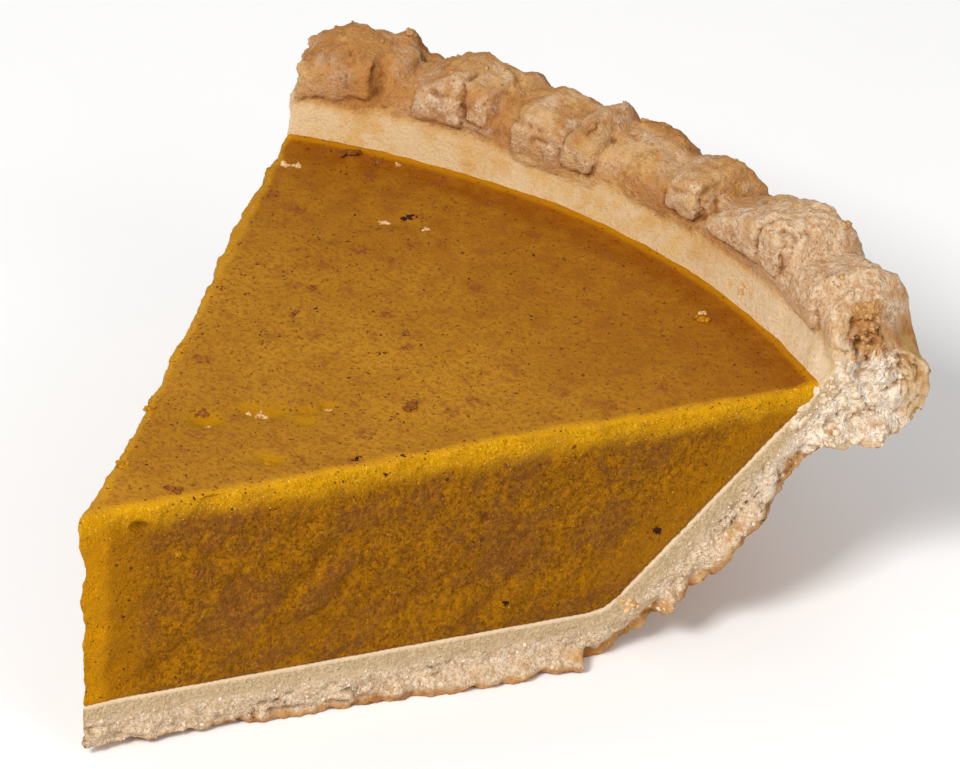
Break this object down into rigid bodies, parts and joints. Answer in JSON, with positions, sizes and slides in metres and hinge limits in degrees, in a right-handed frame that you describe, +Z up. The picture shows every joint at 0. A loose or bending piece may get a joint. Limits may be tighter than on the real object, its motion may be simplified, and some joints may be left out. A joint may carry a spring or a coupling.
{
  "type": "pumpkin pie slice",
  "caption": "Wedge cut from a deep pumpkin pie: set custard filling in a baked shortcrust with a flat bottom, a sloping wall and a hand-crimped rim.",
  "frame": {"origin": "middle of the slice's footprint, on the plane its flat bottom rests on", "axes": "+Z up; +Y from the tip, which was the pie's centre, towards the middle of the crimped rim; +X towards the right-hand cut face seen from the tip"},
  "size_m": [0.1146, 0.1222, 0.0528],
  "materials": {
    "crust": "dry baked pastry, rough and floury, golden brown at the rim and cream where cut",
    "filling": "set pumpkin custard, satin, brownish orange with dark spice specks"
  },
  "bodies": {
    "root": {"crust": "crust", "filling": "filling"}
  },
  "joints": []
}
